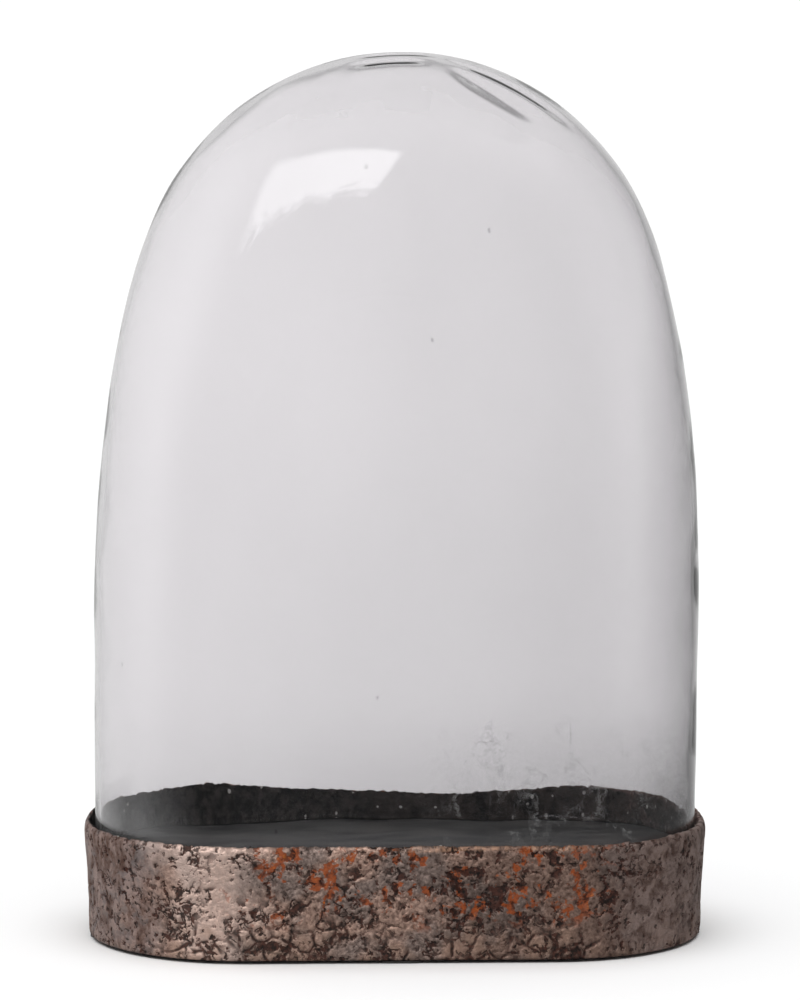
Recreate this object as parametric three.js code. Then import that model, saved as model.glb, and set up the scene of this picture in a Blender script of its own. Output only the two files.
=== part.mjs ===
// Oval glass cloche standing in a rough cast-iron tray.
// Millimetres, +Z up. The origin is the centre of the face that the tray stands on;
// +X runs along the tray's length and the front faces -Y.
//
// The tray's plan is a stadium: two half circles joined by straight sides. The blown
// glass follows that plan at its foot and softens to an ellipse towards the crown.

import * as THREE from 'three';
import { LoftGeometry } from 'three/addons/geometries/LoftGeometry.js';

// ---- driving dimensions ---------------------------------------------------------

const trayLength = 300;
const trayDepth = 155;
const overallHeight = 424;

const padThickness = 1.2;
const padLength = 22;
const padWidth = 8;

const rimHeight = 56.4;        // top of the tray's lip
const floorHeight = 41;        // top of the floor panel, where the glass stands
const floorThickness = 2;
const draftInset = 2.1;        // how far the wall leans in from lip to foot
const rimThickness = 3.8;
const ledgeWidth = 8;          // shelf that carries the floor panel, thick down to the foot

const glassThickness = 3.2;
const glassClearance = 1.6;    // between the glass and the tray's lip
const restGap = 0.3;           // left between pieces that touch

const crownRadius = 127;       // of the round top, seen from the front
const crownSweep = 66;         // degrees of that arc on each side of the apex
const bellyHalfWidth = 145.2;  // widest place of the glass
const bellyHeight = 163;
const crownDepthRatio = 0.62;  // depth over width of the glass at the apex

const aroundGlass = 64;        // facets round the glass
const aroundEnd = 26;          // facets round each end of the tray

// ---- derived places ---------------------------------------------------------------

const endRadius = trayDepth / 2;
const straightHalf = (trayLength - trayDepth) / 2;
const footHalfWidth = trayLength / 2 - rimThickness - glassClearance;
const footHalfDepth = endRadius - rimThickness - glassClearance;
const ledgeHeight = floorHeight - floorThickness - restGap;
const glassFoot = floorHeight + restGap;

// ---- materials ----------------------------------------------------------------------

function finish(color, roughness, metalness = 0) {
  return new THREE.MeshStandardMaterial({ color, roughness, metalness });
}

function clearGlass() {
  const material = finish(0xdcdee0, 0.05);
  material.transparent = true;
  material.opacity = 0.35;
  return material;
}

// ---- the stadium plan ---------------------------------------------------------------

// A closed stadium outline, the same distance inside the tray's outline all round.
function stadiumShape(inset) {
  const radius = endRadius - inset;
  const shape = new THREE.Shape();
  shape.moveTo(-straightHalf, -radius);
  shape.lineTo(straightHalf, -radius);
  shape.absarc(straightHalf, 0, radius, -Math.PI / 2, Math.PI / 2, false);
  shape.lineTo(-straightHalf, radius);
  shape.absarc(-straightHalf, 0, radius, Math.PI / 2, Math.PI * 1.5, false);
  return shape;
}

// The places where a ring's section stands as it is swept round the stadium: the
// end circle's centre, and the direction that points out of the ring.
function ringStations() {
  const stations = [];
  for (const side of [1, -1]) {
    for (let i = 0; i <= aroundEnd; i++) {
      const angle = Math.PI * (i / aroundEnd - 0.5);
      const outward = new THREE.Vector2(Math.cos(angle), Math.sin(angle));
      stations.push({ centre: side * straightHalf, outward: outward.multiplyScalar(side) });
    }
  }
  stations.push(stations[0]);
  return stations;
}

// Sweeps a closed section round the stadium. Its points are [inset from the tray's
// outline, height], going up the outside and down the inside.
function stadiumRing(section) {
  const loops = ringStations().map(({ centre, outward }) =>
    section.toReversed().map(([inset, height]) => new THREE.Vector3(
      centre + outward.x * (endRadius - inset),
      outward.y * (endRadius - inset),
      height,
    )));
  return new LoftGeometry(loops);
}

// ---- glass dome -----------------------------------------------------------------------

// Half the glass's front outline, from the apex to the foot: a round crown, a
// shoulder that eases out to the belly, and a skirt that draws in a little.
function glassOutline() {
  const sweep = THREE.MathUtils.degToRad(crownSweep);
  const crownCentre = overallHeight - crownRadius;
  const crownEnd = new THREE.Vector2(
    crownRadius * Math.sin(sweep),
    crownCentre + crownRadius * Math.cos(sweep),
  );
  const belly = new THREE.Vector2(bellyHalfWidth, bellyHeight);
  const foot = new THREE.Vector2(footHalfWidth, glassFoot + glassThickness / 2);
  const reach = crownEnd.distanceTo(belly);
  const crownTangent = new THREE.Vector2(Math.cos(sweep), -Math.sin(sweep));
  const outline = new THREE.CurvePath();
  outline.add(new THREE.EllipseCurve(
    0, crownCentre, crownRadius, crownRadius, Math.PI / 2, Math.PI / 2 - sweep, true));
  outline.add(new THREE.CubicBezierCurve(
    crownEnd,
    crownEnd.clone().addScaledVector(crownTangent, reach * 0.27),
    new THREE.Vector2(bellyHalfWidth, bellyHeight + reach * 0.34),
    belly,
  ));
  outline.add(new THREE.QuadraticBezierCurve(
    belly, new THREE.Vector2(bellyHalfWidth, (bellyHeight + foot.y) / 2), foot));
  return outline;
}

// How far a stadium reaches along a unit direction from its centre.
function stadiumReach(direction, halfWidth, halfDepth) {
  const straight = halfWidth - halfDepth;
  const across = Math.abs(direction.x);
  const along = Math.abs(direction.y);
  if (across * halfDepth <= straight * along) return halfDepth / along;
  return straight * across + Math.sqrt(halfDepth ** 2 - (straight * along) ** 2);
}

const outline = glassOutline();

// A point of the glass's outer face: level 0 is the apex and level 1 the foot.
function glassPoint(level, angle) {
  const { x: halfWidth, y: height } = outline.getPointAt(THREE.MathUtils.clamp(level, 0, 1));
  const descent = (overallHeight - height) / (overallHeight - glassFoot);
  const depthRatio = THREE.MathUtils.lerp(
    crownDepthRatio, footHalfDepth / footHalfWidth, THREE.MathUtils.smoothstep(descent, 0, 0.5));
  const halfDepth = halfWidth * depthRatio;
  const onEllipse = new THREE.Vector2(halfWidth * Math.cos(angle), halfDepth * Math.sin(angle));
  const direction = onEllipse.clone().normalize();
  const reach = stadiumReach(direction, halfWidth, halfDepth);
  const plan = onEllipse.lerp(
    direction.multiplyScalar(reach), THREE.MathUtils.smoothstep(descent, 0, 0.55));
  return new THREE.Vector3(plan.x, plan.y, height);
}

// The outward direction of the outer face, from its slopes down and round the glass.
function glassNormal(level, angle) {
  const step = 0.004;
  const down = glassPoint(level + step, angle).sub(glassPoint(level - step, angle));
  const round = glassPoint(level, angle + step).sub(glassPoint(level, angle - step));
  return down.cross(round).normalize();
}

// One ring of the shell, sunk into the wall by the given depth and lowered by drop.
function glassRing(level, depth, drop = 0) {
  return Array.from({ length: aroundGlass }, (_, i) => {
    const angle = -2 * Math.PI * (i + 0.5) / aroundGlass;
    const normal = glassNormal(level, angle);
    return glassPoint(level, angle).addScaledVector(normal, -depth).setZ(
      glassPoint(level, angle).z - normal.z * depth - drop);
  });
}

// The pole that closes the shell at the apex.
function glassPole(depth) {
  const pole = new THREE.Vector3(0, 0, overallHeight - depth);
  return Array.from({ length: aroundGlass }, () => pole.clone());
}

function glassDome() {
  const levels = [0.03, 0.07, 0.12, 0.17, 0.22, 0.28, 0.34, 0.4, 0.46, 0.53, 0.61, 0.7, 0.8, 0.9, 1];
  const lipDrop = glassThickness / 2;
  return new LoftGeometry([
    glassPole(0),
    ...levels.map((level) => glassRing(level, 0)),
    glassRing(1, glassThickness * 0.3, lipDrop),
    glassRing(1, glassThickness * 0.7, lipDrop),
    ...levels.toReversed().map((level) => glassRing(level, glassThickness)),
    glassPole(glassThickness),
  ]);
}

// ---- tray ---------------------------------------------------------------------------------

// The casting: a leaning wall with a rounded lip, thicker below the shelf that carries
// the floor panel. It has no bottom of its own.
function trayWall() {
  const lip = rimThickness / 2;
  const inside = rimThickness + ledgeWidth;
  return stadiumRing([
    [draftInset + 0.9, padThickness],
    [draftInset, padThickness + 1.2],
    [draftInset, rimHeight * 0.35],
    [draftInset * 0.3, rimHeight * 0.74],
    [0, rimHeight - 5],
    [0.4, rimHeight - 1.8],
    [lip - 0.6, rimHeight],
    [lip + 0.6, rimHeight],
    [rimThickness - 0.3, rimHeight - 1.3],
    [rimThickness, rimHeight - 3.4],
    [rimThickness, ledgeHeight],
    [inside, ledgeHeight],
    [inside, padThickness],
  ]);
}

// A flat panel, laid on the shelf with a little room at its edge.
function trayFloor() {
  const edge = 0.4;
  const panel = new THREE.ExtrudeGeometry(stadiumShape(rimThickness + restGap + edge), {
    depth: floorThickness - 2 * edge,
    bevelThickness: edge,
    bevelSize: edge,
    bevelSegments: 1,
    curveSegments: aroundEnd,
  });
  return panel.translate(0, 0, floorHeight - floorThickness + edge);
}

// A thin bead of adhesive in the corner between the floor panel and the wall, small
// enough to stay under the rounded foot of the glass.
function glueBead() {
  const outer = rimThickness + restGap;
  const foot = floorHeight + restGap;
  const size = glassClearance - 2 * restGap;
  return stadiumRing([
    [outer, foot],
    [outer, foot + size],
    [outer + size * 0.35, foot + size * 0.4],
    [outer + size, foot],
  ]);
}

// A felt strip with round ends, stuck under the wall, long side along it.
function footPad() {
  const radius = padWidth / 2;
  const half = padLength / 2 - radius;
  const strip = new THREE.Shape();
  strip.absarc(half, 0, radius, -Math.PI / 2, Math.PI / 2, false);
  strip.absarc(-half, 0, radius, Math.PI / 2, Math.PI * 1.5, false);
  return new THREE.ExtrudeGeometry(strip, {
    depth: padThickness - restGap, bevelEnabled: false, curveSegments: 8,
  });
}

// ---- assembly -------------------------------------------------------------------------------

function piece(name, geometry, material) {
  const mesh = new THREE.Mesh(geometry, material);
  mesh.name = name;
  return mesh;
}

const cloche = new THREE.Group();

const dome = new THREE.Group();
dome.add(piece('glass_dome', glassDome(), clearGlass()));

const tray = new THREE.Group();
tray.add(piece('tray_wall', trayWall(), finish(0x6f5a50, 0.6, 0.5)));
tray.add(piece('tray_floor', trayFloor(), finish(0x4a4e51, 0.5, 0.4)));
tray.add(piece('glue_bead', glueBead(), finish(0x24221f, 0.7)));

const padInset = draftInset + 1 + padWidth / 2;
const felt = finish(0x1d1c1b, 0.95);
const padPlaces = {
  front: { x: 0, y: -(endRadius - padInset), turn: 0 },
  rear: { x: 0, y: endRadius - padInset, turn: 0 },
  left: { x: -(trayLength / 2 - padInset), y: 0, turn: Math.PI / 2 },
  right: { x: trayLength / 2 - padInset, y: 0, turn: Math.PI / 2 },
};
for (const [side, { x, y, turn }] of Object.entries(padPlaces)) {
  const pad = piece(`foot_pad_${side}`, footPad(), felt);
  pad.position.set(x, y, 0);
  pad.rotation.z = turn;
  tray.add(pad);
}

cloche.add(tray, dome);

export default cloche;
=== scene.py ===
"""The looks of the oval glass cloche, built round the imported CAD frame.

Metres, +Z up, the front faces -Y. The blown glass dome, the rough tray, its floor, the
bead of adhesive and the felt pads are all rebuilt finely in place of the CAD nodes.
"""
import math

import bmesh
import bpy
import numpy as np
from mathutils import Matrix, Vector, noise


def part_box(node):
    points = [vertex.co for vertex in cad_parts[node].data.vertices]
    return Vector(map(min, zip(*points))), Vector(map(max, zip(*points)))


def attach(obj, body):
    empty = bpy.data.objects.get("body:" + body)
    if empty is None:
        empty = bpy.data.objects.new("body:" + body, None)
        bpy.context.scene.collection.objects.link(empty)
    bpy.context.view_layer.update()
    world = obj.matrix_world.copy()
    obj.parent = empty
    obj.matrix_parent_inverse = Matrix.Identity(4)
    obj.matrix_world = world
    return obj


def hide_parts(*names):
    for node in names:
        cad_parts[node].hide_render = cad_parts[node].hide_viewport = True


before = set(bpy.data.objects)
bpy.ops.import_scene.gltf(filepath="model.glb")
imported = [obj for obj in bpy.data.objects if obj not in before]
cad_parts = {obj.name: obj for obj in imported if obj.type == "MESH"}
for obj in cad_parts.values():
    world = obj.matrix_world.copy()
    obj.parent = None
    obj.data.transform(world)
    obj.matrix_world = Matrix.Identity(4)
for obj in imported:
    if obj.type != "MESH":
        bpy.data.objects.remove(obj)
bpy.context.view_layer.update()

MM = 0.001

# ---- sizes taken from the frame --------------------------------------------------------

TRAY_LOW, TRAY_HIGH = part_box("tray_wall")
FLOOR_LOW, FLOOR_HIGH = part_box("tray_floor")
DOME_LOW, DOME_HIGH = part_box("glass_dome")
END_RADIUS = TRAY_HIGH.y                       # of the tray's round ends
STRAIGHT_HALF = TRAY_HIGH.x - TRAY_HIGH.y      # half its straight sides
RIM_HEIGHT = TRAY_HIGH.z
TRAY_FOOT = TRAY_LOW.z
FLOOR_TOP = FLOOR_HIGH.z
BEAD_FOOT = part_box("glue_bead")[0].z
APEX = DOME_HIGH.z

# the same choices as the CAD model's
RIM_THICKNESS = 3.8 * MM
LEDGE_WIDTH = 8 * MM
DRAFT = 2.1 * MM
GLASS_CLEARANCE = 1.6 * MM
GLASS_THICKNESS = 3.2 * MM
REST_GAP = 0.3 * MM
CROWN_RADIUS = 127 * MM
CROWN_SWEEP = math.radians(66)
BELLY_HEIGHT = 163 * MM
CROWN_DEPTH_RATIO = 0.62
FOOT_HALF_WIDTH = TRAY_HIGH.x - RIM_THICKNESS - GLASS_CLEARANCE
FOOT_HALF_DEPTH = END_RADIUS - RIM_THICKNESS - GLASS_CLEARANCE

# what only the looks have
LEAN = 1.8 * MM                             # of the crown towards the right
CRUST = 1.0 * MM                            # from the tray's deepest hollow to its highest lump
CRUST_DIP = 0.4 * MM                        # how far the hollows sink below the bare wall
REAR_CORNER_RISE = 3.4 * MM                 # of the uneven lip at the rear corners

# zones of the tray's crust, as the two places in X that each change runs between
SMEARED_UNTIL = (-132 * MM, -106 * MM)      # the streaked left end
CALM_FROM = (84 * MM, 116 * MM)             # the dull right end
RUST_FROM = (-92 * MM, -62 * MM)
# the pale band is partly a paler skin and partly a painted sheen
PALE_AND_SHEEN_FROM, PALE_AND_SHEEN_UNTIL = (-118 * MM, -98 * MM), (-84 * MM, -58 * MM)
# the dark band is partly a darker skin and partly painted shade
DARK_AND_SHADE_FROM, DARK_AND_SHADE_UNTIL = (0, 44 * MM), (92 * MM, 118 * MM)
RUBBED_FROM, RUBBED_UNTIL = (-12 * MM, 22 * MM), (72 * MM, 100 * MM)

# folds inside the crown, in mm: height, the two ends in plan, bow and width
FOLDS = [
    (0.65, (16, -10), (88, -20), -3, 3.4),
    (1.15, (20, -17), (74, -31), -6, 5.2),
    (0.4, (-26, -7), (22, -7), 0, 3.2),
    (0.45, (-28, -17), (18, -17), 0, 3.4),
]

# how finely the pieces are meshed
GLASS_COLUMNS = 240
CROWN_LEVELS, BODY_LEVELS = 84, 112
WALL_STATIONS, PANEL_STATIONS, BEAD_STATIONS = 1000, 360, 720

# the camera
LENS = 180.5                                # mm
CLIP_END = 200                              # m
VIEW_AZIMUTH, VIEW_ELEVATION, VIEW_ROLL = -2.45, 6.72, 0.17     # degrees
VIEW_DISTANCE = 2.4
VIEW_AIM = (1.8 * MM, 0, 210.1 * MM)

# the studio; levels of light are 1 where the screen is white
FLOOR_HALF = 60                             # m, half the floor's side
PALE_FLOOR = 0.92
SET_FRONT, SET_LEFT, SET_RIGHT = 0.06, 0.70, 0.18     # what the glass mirrors
CEILING = 0.36
WHITE_BEHIND = 1.045                        # behind the glass, as bright as the lit floor
SHADE_LEFT, SHADE_RIGHT = 0.27, 0.13        # what reaches the rough pieces
MIRRORED_SOFTBOX = (1.9, 2.7)               # at its left and right ends
KEY_STRENGTH, KEY_ANGLE = 3.0, 75
KEY_FROM = (-0.2, -0.7, 5.4)
SOFTBOX_TURN, SOFTBOX_RISE = 30, 39         # degrees to the left of the front, and up
MIRRORED_TURN = 28.4                        # of its mirror image, in degrees
SOFTBOX_SIZE, SOFTBOX_WATTS, SOFTBOX_DISTANCE = (1.15, 0.6), 25, 1.6
SOFTBOX_AIM = (0, 0, 0.28)
GLASS_MIDDLE = 0.2                          # height that mirrored floor is seen from


# ---- small helpers ---------------------------------------------------------------------

def srgb(red, green, blue):
    """A colour given as 0 to 255 screen values, as the linear colour that nodes take."""
    def linear(value):
        value /= 255
        return value / 12.92 if value <= 0.04045 else ((value + 0.055) / 1.055) ** 2.4
    return (linear(red), linear(green), linear(blue), 1.0)


# colours; a pair is a dark and a light end
# the glass's own tint, darkened at the foot as painted shade
GLASS_TINT_AND_SHADE = (0.86, 0.915)                  # at the foot and higher up
GREEN_SHARE = 0.985                         # of the glass's red and blue
GLASS_DUST = (0.72, 0.72, 0.71, 1)
GLASS_SHADOW = (0.86, 0.86, 0.87, 1)
BEIGE = srgb(84, 58, 48), srgb(208, 176, 160)
GREY = srgb(72, 57, 52), srgb(172, 153, 144)
SMEARS = srgb(80, 54, 44), srgb(154, 135, 129)
SMEAR_BLOTCH = srgb(112, 106, 106)
# dull grey-brown of the right end, darkened partly as painted shade
DULL_SKIN_AND_SHADE = srgb(92, 71, 64), srgb(166, 146, 139)
# paler skin with a painted sheen of the softbox's highlight
PALE_SKIN_AND_SHEEN = srgb(232, 206, 194)
# darker skin with painted shade
DARK_SKIN_AND_SHADE = srgb(50, 36, 31)
COBBLE_TOP = srgb(170, 140, 122)
RUST = srgb(56, 27, 18), srgb(132, 60, 18)
BRIGHT_RUST = srgb(180, 100, 30)
HOLLOW = srgb(14, 7, 6), srgb(62, 32, 24)
RUBBED_LIP = srgb(156, 122, 100)
LINING = srgb(8, 8, 8), srgb(72, 68, 64)
WORN_LINING = srgb(92, 81, 74)
SPECK = srgb(214, 212, 204)
SLATE = srgb(48, 49, 50), srgb(98, 98, 96)
SLATE_CLOUD = srgb(104, 101, 98)
SLATE_DUST = srgb(130, 128, 124)
ADHESIVE = srgb(20, 19, 18), srgb(58, 54, 50)
ADHESIVE_FLECK = srgb(188, 184, 174)
FELT = srgb(18, 17, 17), srgb(52, 49, 47)


def smoothstep(value, low, high):
    t = np.clip((value - low) / (high - low), 0, 1)
    return t * t * (3 - 2 * t)


def wander(points, wavelength, seed, octaves=2):
    """Smooth noise of about -1 to 1 at each point, with features of that wavelength."""
    shift = Vector((seed * 17.3, seed * 5.1, seed * 9.7))
    flat = points.reshape(-1, 3)
    values = [noise.fractal(Vector(p) / wavelength + shift, 1.0, 2.0, octaves) for p in flat]
    return np.array(values).reshape(points.shape[:-1])


def grid_faces(rows, columns, wrap_rows=False):
    """Quads of a grid that closes round its columns, and round its rows if asked."""
    index = np.arange(rows * columns).reshape(rows, columns)
    below = np.roll(index, -1, axis=0) if wrap_rows else index[1:]
    above = index if wrap_rows else index[:-1]
    quads = np.stack([above, np.roll(above, -1, 1), np.roll(below, -1, 1), below], -1)
    return quads.reshape(-1, 4).tolist()


def make_object(name, vertices, faces, material, smooth=True):
    mesh = bpy.data.meshes.new(name)
    mesh.from_pydata(np.asarray(vertices).reshape(-1, 3).tolist(), [], faces)
    mesh.update()
    mesh.polygons.foreach_set("use_smooth", [smooth] * len(mesh.polygons))
    mesh.materials.append(material)
    obj = bpy.data.objects.new(name, mesh)
    bpy.context.scene.collection.objects.link(obj)
    return obj


def place(obj, body, slot, *nodes):
    """Lets a piece ride on a body and stand for its CAD nodes. The slot is not used."""
    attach(obj, body)
    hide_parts(*nodes)
    return obj


class Nodes:
    """Short ways to add nodes to a shader or geometry tree. Values may be sockets."""

    def __init__(self, tree):
        self.tree = tree

    def add(self, kind, inputs=None, **settings):
        node = self.tree.nodes.new(kind)
        for key, value in settings.items():
            setattr(node, key, value)
        for key, value in (inputs or {}).items():
            self.feed(node.inputs[key], value)
        return node

    def feed(self, socket, value):
        if isinstance(value, bpy.types.NodeSocket):
            self.tree.links.new(value, socket)
        else:
            socket.default_value = value

    def math(self, operation, a, b=0.0, c=0.0, clamp=False):
        return self.add("ShaderNodeMath", {0: a, 1: b, 2: c},
                        operation=operation, use_clamp=clamp).outputs[0]

    def times(self, a, b):
        return self.math("MULTIPLY", a, b)

    def gain(self, value, factor, base, clamp=False):
        """The base plus the value times a factor."""
        return self.math("MULTIPLY_ADD", value, factor, base, clamp)

    def sway(self, cloud, amount, base):
        """The base moved up and down by a cloud of 0 to 1, over that amount in all."""
        return self.gain(self.math("SUBTRACT", cloud, 0.5), amount, base)

    def invert(self, value):
        return self.math("SUBTRACT", 1, value)

    def fall(self, value, low, high):
        """1 at low and 0 at high, smooth between them."""
        return self.invert(self.step(value, low, high))

    def step(self, value, low, high):
        """0 at low and 1 at high, smooth between them, whichever is larger."""
        return self.add("ShaderNodeMapRange", {"Value": value, "From Min": low, "From Max": high},
                        interpolation_type="SMOOTHSTEP").outputs[0]

    def split(self, vector):
        return self.add("ShaderNodeSeparateXYZ", {0: vector}).outputs[:]

    def dot(self, a, b):
        return self.add("ShaderNodeVectorMath", {0: a, 1: b}, operation="DOT_PRODUCT").outputs[1]

    def stretch(self, vector, x=1.0, y=1.0, z=1.0):
        return self.add("ShaderNodeVectorMath", {0: vector, 1: (x, y, z)},
                        operation="MULTIPLY").outputs[0]

    def shift(self, vector, offset):
        return self.add("ShaderNodeVectorMath", {0: vector, 1: offset},
                        operation="ADD").outputs[0]

    def noise(self, vector, size, detail=3.0, roughness=0.5, distortion=0.0):
        """Cloudy noise of 0 to 1 with features about size metres across."""
        inputs = {"Vector": vector, "Scale": 1 / size, "Detail": detail,
                  "Roughness": roughness, "Distortion": distortion}
        return self.add("ShaderNodeTexNoise", inputs).outputs[0]

    def noise_vector(self, vector, size, amount):
        """The vector moved about by noise, to break up straight cells."""
        cloud = self.add("ShaderNodeTexNoise", {"Vector": vector, "Scale": 1 / size,
                                               "Detail": 2.0})
        centred = self.shift(cloud.outputs["Color"], (-0.5, -0.5, -0.5))
        moved = self.add("ShaderNodeVectorMath", {0: centred, 3: 2 * amount},
                         operation="SCALE").outputs[0]
        return self.add("ShaderNodeVectorMath", {0: vector, 1: moved},
                        operation="ADD").outputs[0]

    def cells(self, vector, size, feature="F1", randomness=1.0):
        """Distance inside cells about size metres across, with the cell size as 1."""
        inputs = {"Vector": vector, "Scale": 1 / size, "Randomness": randomness}
        return self.add("ShaderNodeTexVoronoi", inputs, feature=feature).outputs["Distance"]

    def mix(self, factor, a, b):
        node = self.add("ShaderNodeMix", data_type="RGBA")
        for index, value in ((0, factor), (6, a), (7, b)):
            self.feed(node.inputs[index], value)
        return node.outputs[2]

    def position(self):
        """Where a point is on its piece."""
        return self.add("ShaderNodeTexCoord").outputs["Object"]

    def bump(self, shader, height, strength, distance):
        """Feeds a shader's normal with that height map."""
        inputs = {"Strength": strength, "Distance": distance, "Height": height}
        bump = self.add("ShaderNodeBump", inputs)
        self.feed(shader.inputs["Normal"], bump.outputs[0])

    def blend(self, factor, a, b):
        node = self.add("ShaderNodeMix", data_type="FLOAT")
        for index, value in ((0, factor), (2, a), (3, b)):
            self.feed(node.inputs[index], value)
        return node.outputs[0]


def new_material(name):
    """A material with an empty tree, and its node helper and Principled shader."""
    material = bpy.data.materials.new(name)
    material.use_nodes = True
    tree = material.node_tree
    tree.nodes.clear()
    nodes = Nodes(tree)
    shader = nodes.add("ShaderNodeBsdfPrincipled")
    output = nodes.add("ShaderNodeOutputMaterial")
    tree.links.new(shader.outputs[0], output.inputs["Surface"])
    return material, nodes, shader, output


# ---- camera, floor and light -----------------------------------------------------------

def make_camera():
    """The camera, at the photo's viewing angle."""
    data = bpy.data.cameras.new("camera")
    data.lens = LENS
    data.clip_end = CLIP_END
    camera = bpy.data.objects.new("camera", data)
    bpy.context.scene.collection.objects.link(camera)
    azimuth, elevation = math.radians(VIEW_AZIMUTH), math.radians(VIEW_ELEVATION)
    back = Vector((math.sin(azimuth) * math.cos(elevation),
                   -math.cos(azimuth) * math.cos(elevation), math.sin(elevation)))
    camera.location = Vector(VIEW_AIM) + back * VIEW_DISTANCE
    camera.rotation_mode = "QUATERNION"
    roll = Matrix.Rotation(math.radians(VIEW_ROLL), 3, "Z").to_quaternion()
    camera.rotation_quaternion = (-back).to_track_quat("-Z", "Y") @ roll
    bpy.context.scene.camera = camera


def mirrored_set(nodes, direction):
    """What the glass mirrors: bright at the left and behind, dim at the right, dark in front."""
    x, y, _ = nodes.split(direction)
    behind = nodes.step(y, -0.75, -0.1)
    right = nodes.step(x, 0.25, 0.9)
    return nodes.blend(behind, SET_FRONT, nodes.blend(right, SET_LEFT, SET_RIGHT))


def softbox_in_mirror(nodes, direction):
    """A soft-edged softbox at the upper front left, as the glass mirrors it."""
    turn, rise = math.radians(MIRRORED_TURN), math.radians(SOFTBOX_RISE)
    facing = nodes.dot(direction, (-math.sin(turn) * math.cos(rise),
                                   -math.cos(turn) * math.cos(rise), math.sin(rise)))
    side = nodes.dot(direction, (math.cos(turn), -math.sin(turn), 0))
    up = nodes.dot(direction, (math.sin(turn) * math.sin(rise),
                               math.cos(turn) * math.sin(rise), math.cos(rise)))
    side = nodes.math("DIVIDE", side, nodes.math("MAXIMUM", facing, 0.1))
    up = nodes.math("DIVIDE", up, nodes.math("MAXIMUM", facing, 0.1))
    ragged = nodes.noise(direction, 0.07, 4, 0.6)
    low_edge = nodes.sway(ragged, 0.34, up)
    low_edge = nodes.gain(nodes.step(side, 0.3, -0.42), 0.09, low_edge)
    panel = nodes.times(nodes.step(side, -0.42, -0.32), nodes.fall(side, 0.36, 0.40))
    panel = nodes.times(panel, nodes.step(low_edge, -0.22, -0.14))
    panel = nodes.times(panel, nodes.fall(up, 0.17, 0.23))
    panel = nodes.times(panel, nodes.step(facing, 0, 0.1))
    return nodes.times(panel, nodes.blend(nodes.step(side, -0.4, 0.3), *MIRRORED_SOFTBOX))


def make_studio():
    """A pale floor, a white surround and a broad soft key, which only the floor sees."""
    make_world()
    corners = [(-FLOOR_HALF, -FLOOR_HALF, 0), (FLOOR_HALF, -FLOOR_HALF, 0),
               (FLOOR_HALF, FLOOR_HALF, 0), (-FLOOR_HALF, FLOOR_HALF, 0)]
    material, nodes, shader, _ = new_material("pale_floor")
    mirrors = nodes.add("ShaderNodeLightPath").outputs["Glossy Depth"]
    in_mirror = nodes.math("MINIMUM", mirrors, 1)
    seen_from = nodes.shift(nodes.position(), (0, 0, -GLASS_MIDDLE))
    seen_from = nodes.add("ShaderNodeVectorMath", {0: seen_from}, operation="NORMALIZE")
    mirrored = nodes.times(mirrored_set(nodes, seen_from.outputs[0]), 0.9)
    mirrored = nodes.add("ShaderNodeCombineColor", {0: mirrored, 1: mirrored, 2: mirrored})
    pale = nodes.mix(in_mirror, (PALE_FLOOR, PALE_FLOOR, PALE_FLOOR, 1), mirrored.outputs[0])
    nodes.feed(shader.inputs["Base Color"], pale)
    shader.inputs["Roughness"].default_value = 0.9
    shader.inputs["Specular IOR Level"].default_value = 0.0
    floor = make_object("studio_floor", corners, [(0, 1, 2, 3)], material, smooth=False)

    key = bpy.data.lights.new("broad_key", "SUN")
    key.energy = KEY_STRENGTH
    key.angle = math.radians(KEY_ANGLE)
    key_light = add_light(key, KEY_FROM, (0, 0, 0))
    key_light.visible_glossy = False
    key_light.visible_transmission = False
    light_only(key_light, [floor])


def make_world():
    """A white surround. Folds in the glass show its dark ceiling; the pieces mirror a set."""
    world = bpy.data.worlds.new("studio")
    world.use_nodes = True
    tree = world.node_tree
    tree.nodes.clear()
    nodes = Nodes(tree)
    direction = nodes.add("ShaderNodeTexCoord").outputs["Generated"]
    x, _, z = nodes.split(direction)
    mirrored = mirrored_set(nodes, direction)
    mirrored = nodes.blend(nodes.step(z, 0.55, 0.95), mirrored, CEILING)
    mirrored = nodes.math("ADD", mirrored, softbox_in_mirror(nodes, direction))
    through = nodes.blend(nodes.step(z, 0.08, 0.26), WHITE_BEHIND, CEILING)
    shading = nodes.blend(nodes.step(x, -0.9, 0.9), SHADE_LEFT, SHADE_RIGHT)
    path = nodes.add("ShaderNodeLightPath")
    in_mirror = nodes.math("MINIMUM", path.outputs["Glossy Depth"], 1)
    level = nodes.blend(in_mirror, through, mirrored)
    level = nodes.blend(path.outputs["Is Camera Ray"], level, 1.0)
    level = nodes.blend(path.outputs["Is Diffuse Ray"], level, shading)
    background = nodes.add("ShaderNodeBackground", {"Color": (1, 1, 1, 1), "Strength": level})
    output = nodes.add("ShaderNodeOutputWorld")
    tree.links.new(background.outputs[0], output.inputs["Surface"])
    bpy.context.scene.world = world


def add_light(light, place_at, aim):
    obj = bpy.data.objects.new(light.name, light)
    obj.location = place_at
    obj.rotation_mode = "QUATERNION"
    obj.rotation_quaternion = (Vector(aim) - Vector(place_at)).to_track_quat("-Z", "Y")
    bpy.context.scene.collection.objects.link(obj)
    return obj


def add_softbox(pieces):
    """A softbox at the upper front left, which only the given pieces see."""
    turn, rise = math.radians(SOFTBOX_TURN), math.radians(SOFTBOX_RISE)
    aim = Vector(SOFTBOX_AIM)
    towards = Vector((-math.sin(turn) * math.cos(rise), -math.cos(turn) * math.cos(rise),
                      math.sin(rise)))
    light = bpy.data.lights.new("softbox", "AREA")
    light.shape = "RECTANGLE"
    light.size, light.size_y = SOFTBOX_SIZE
    light.energy = SOFTBOX_WATTS
    softbox = add_light(light, aim + towards * SOFTBOX_DISTANCE, aim)
    softbox.visible_camera = False
    light_only(softbox, pieces)


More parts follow.
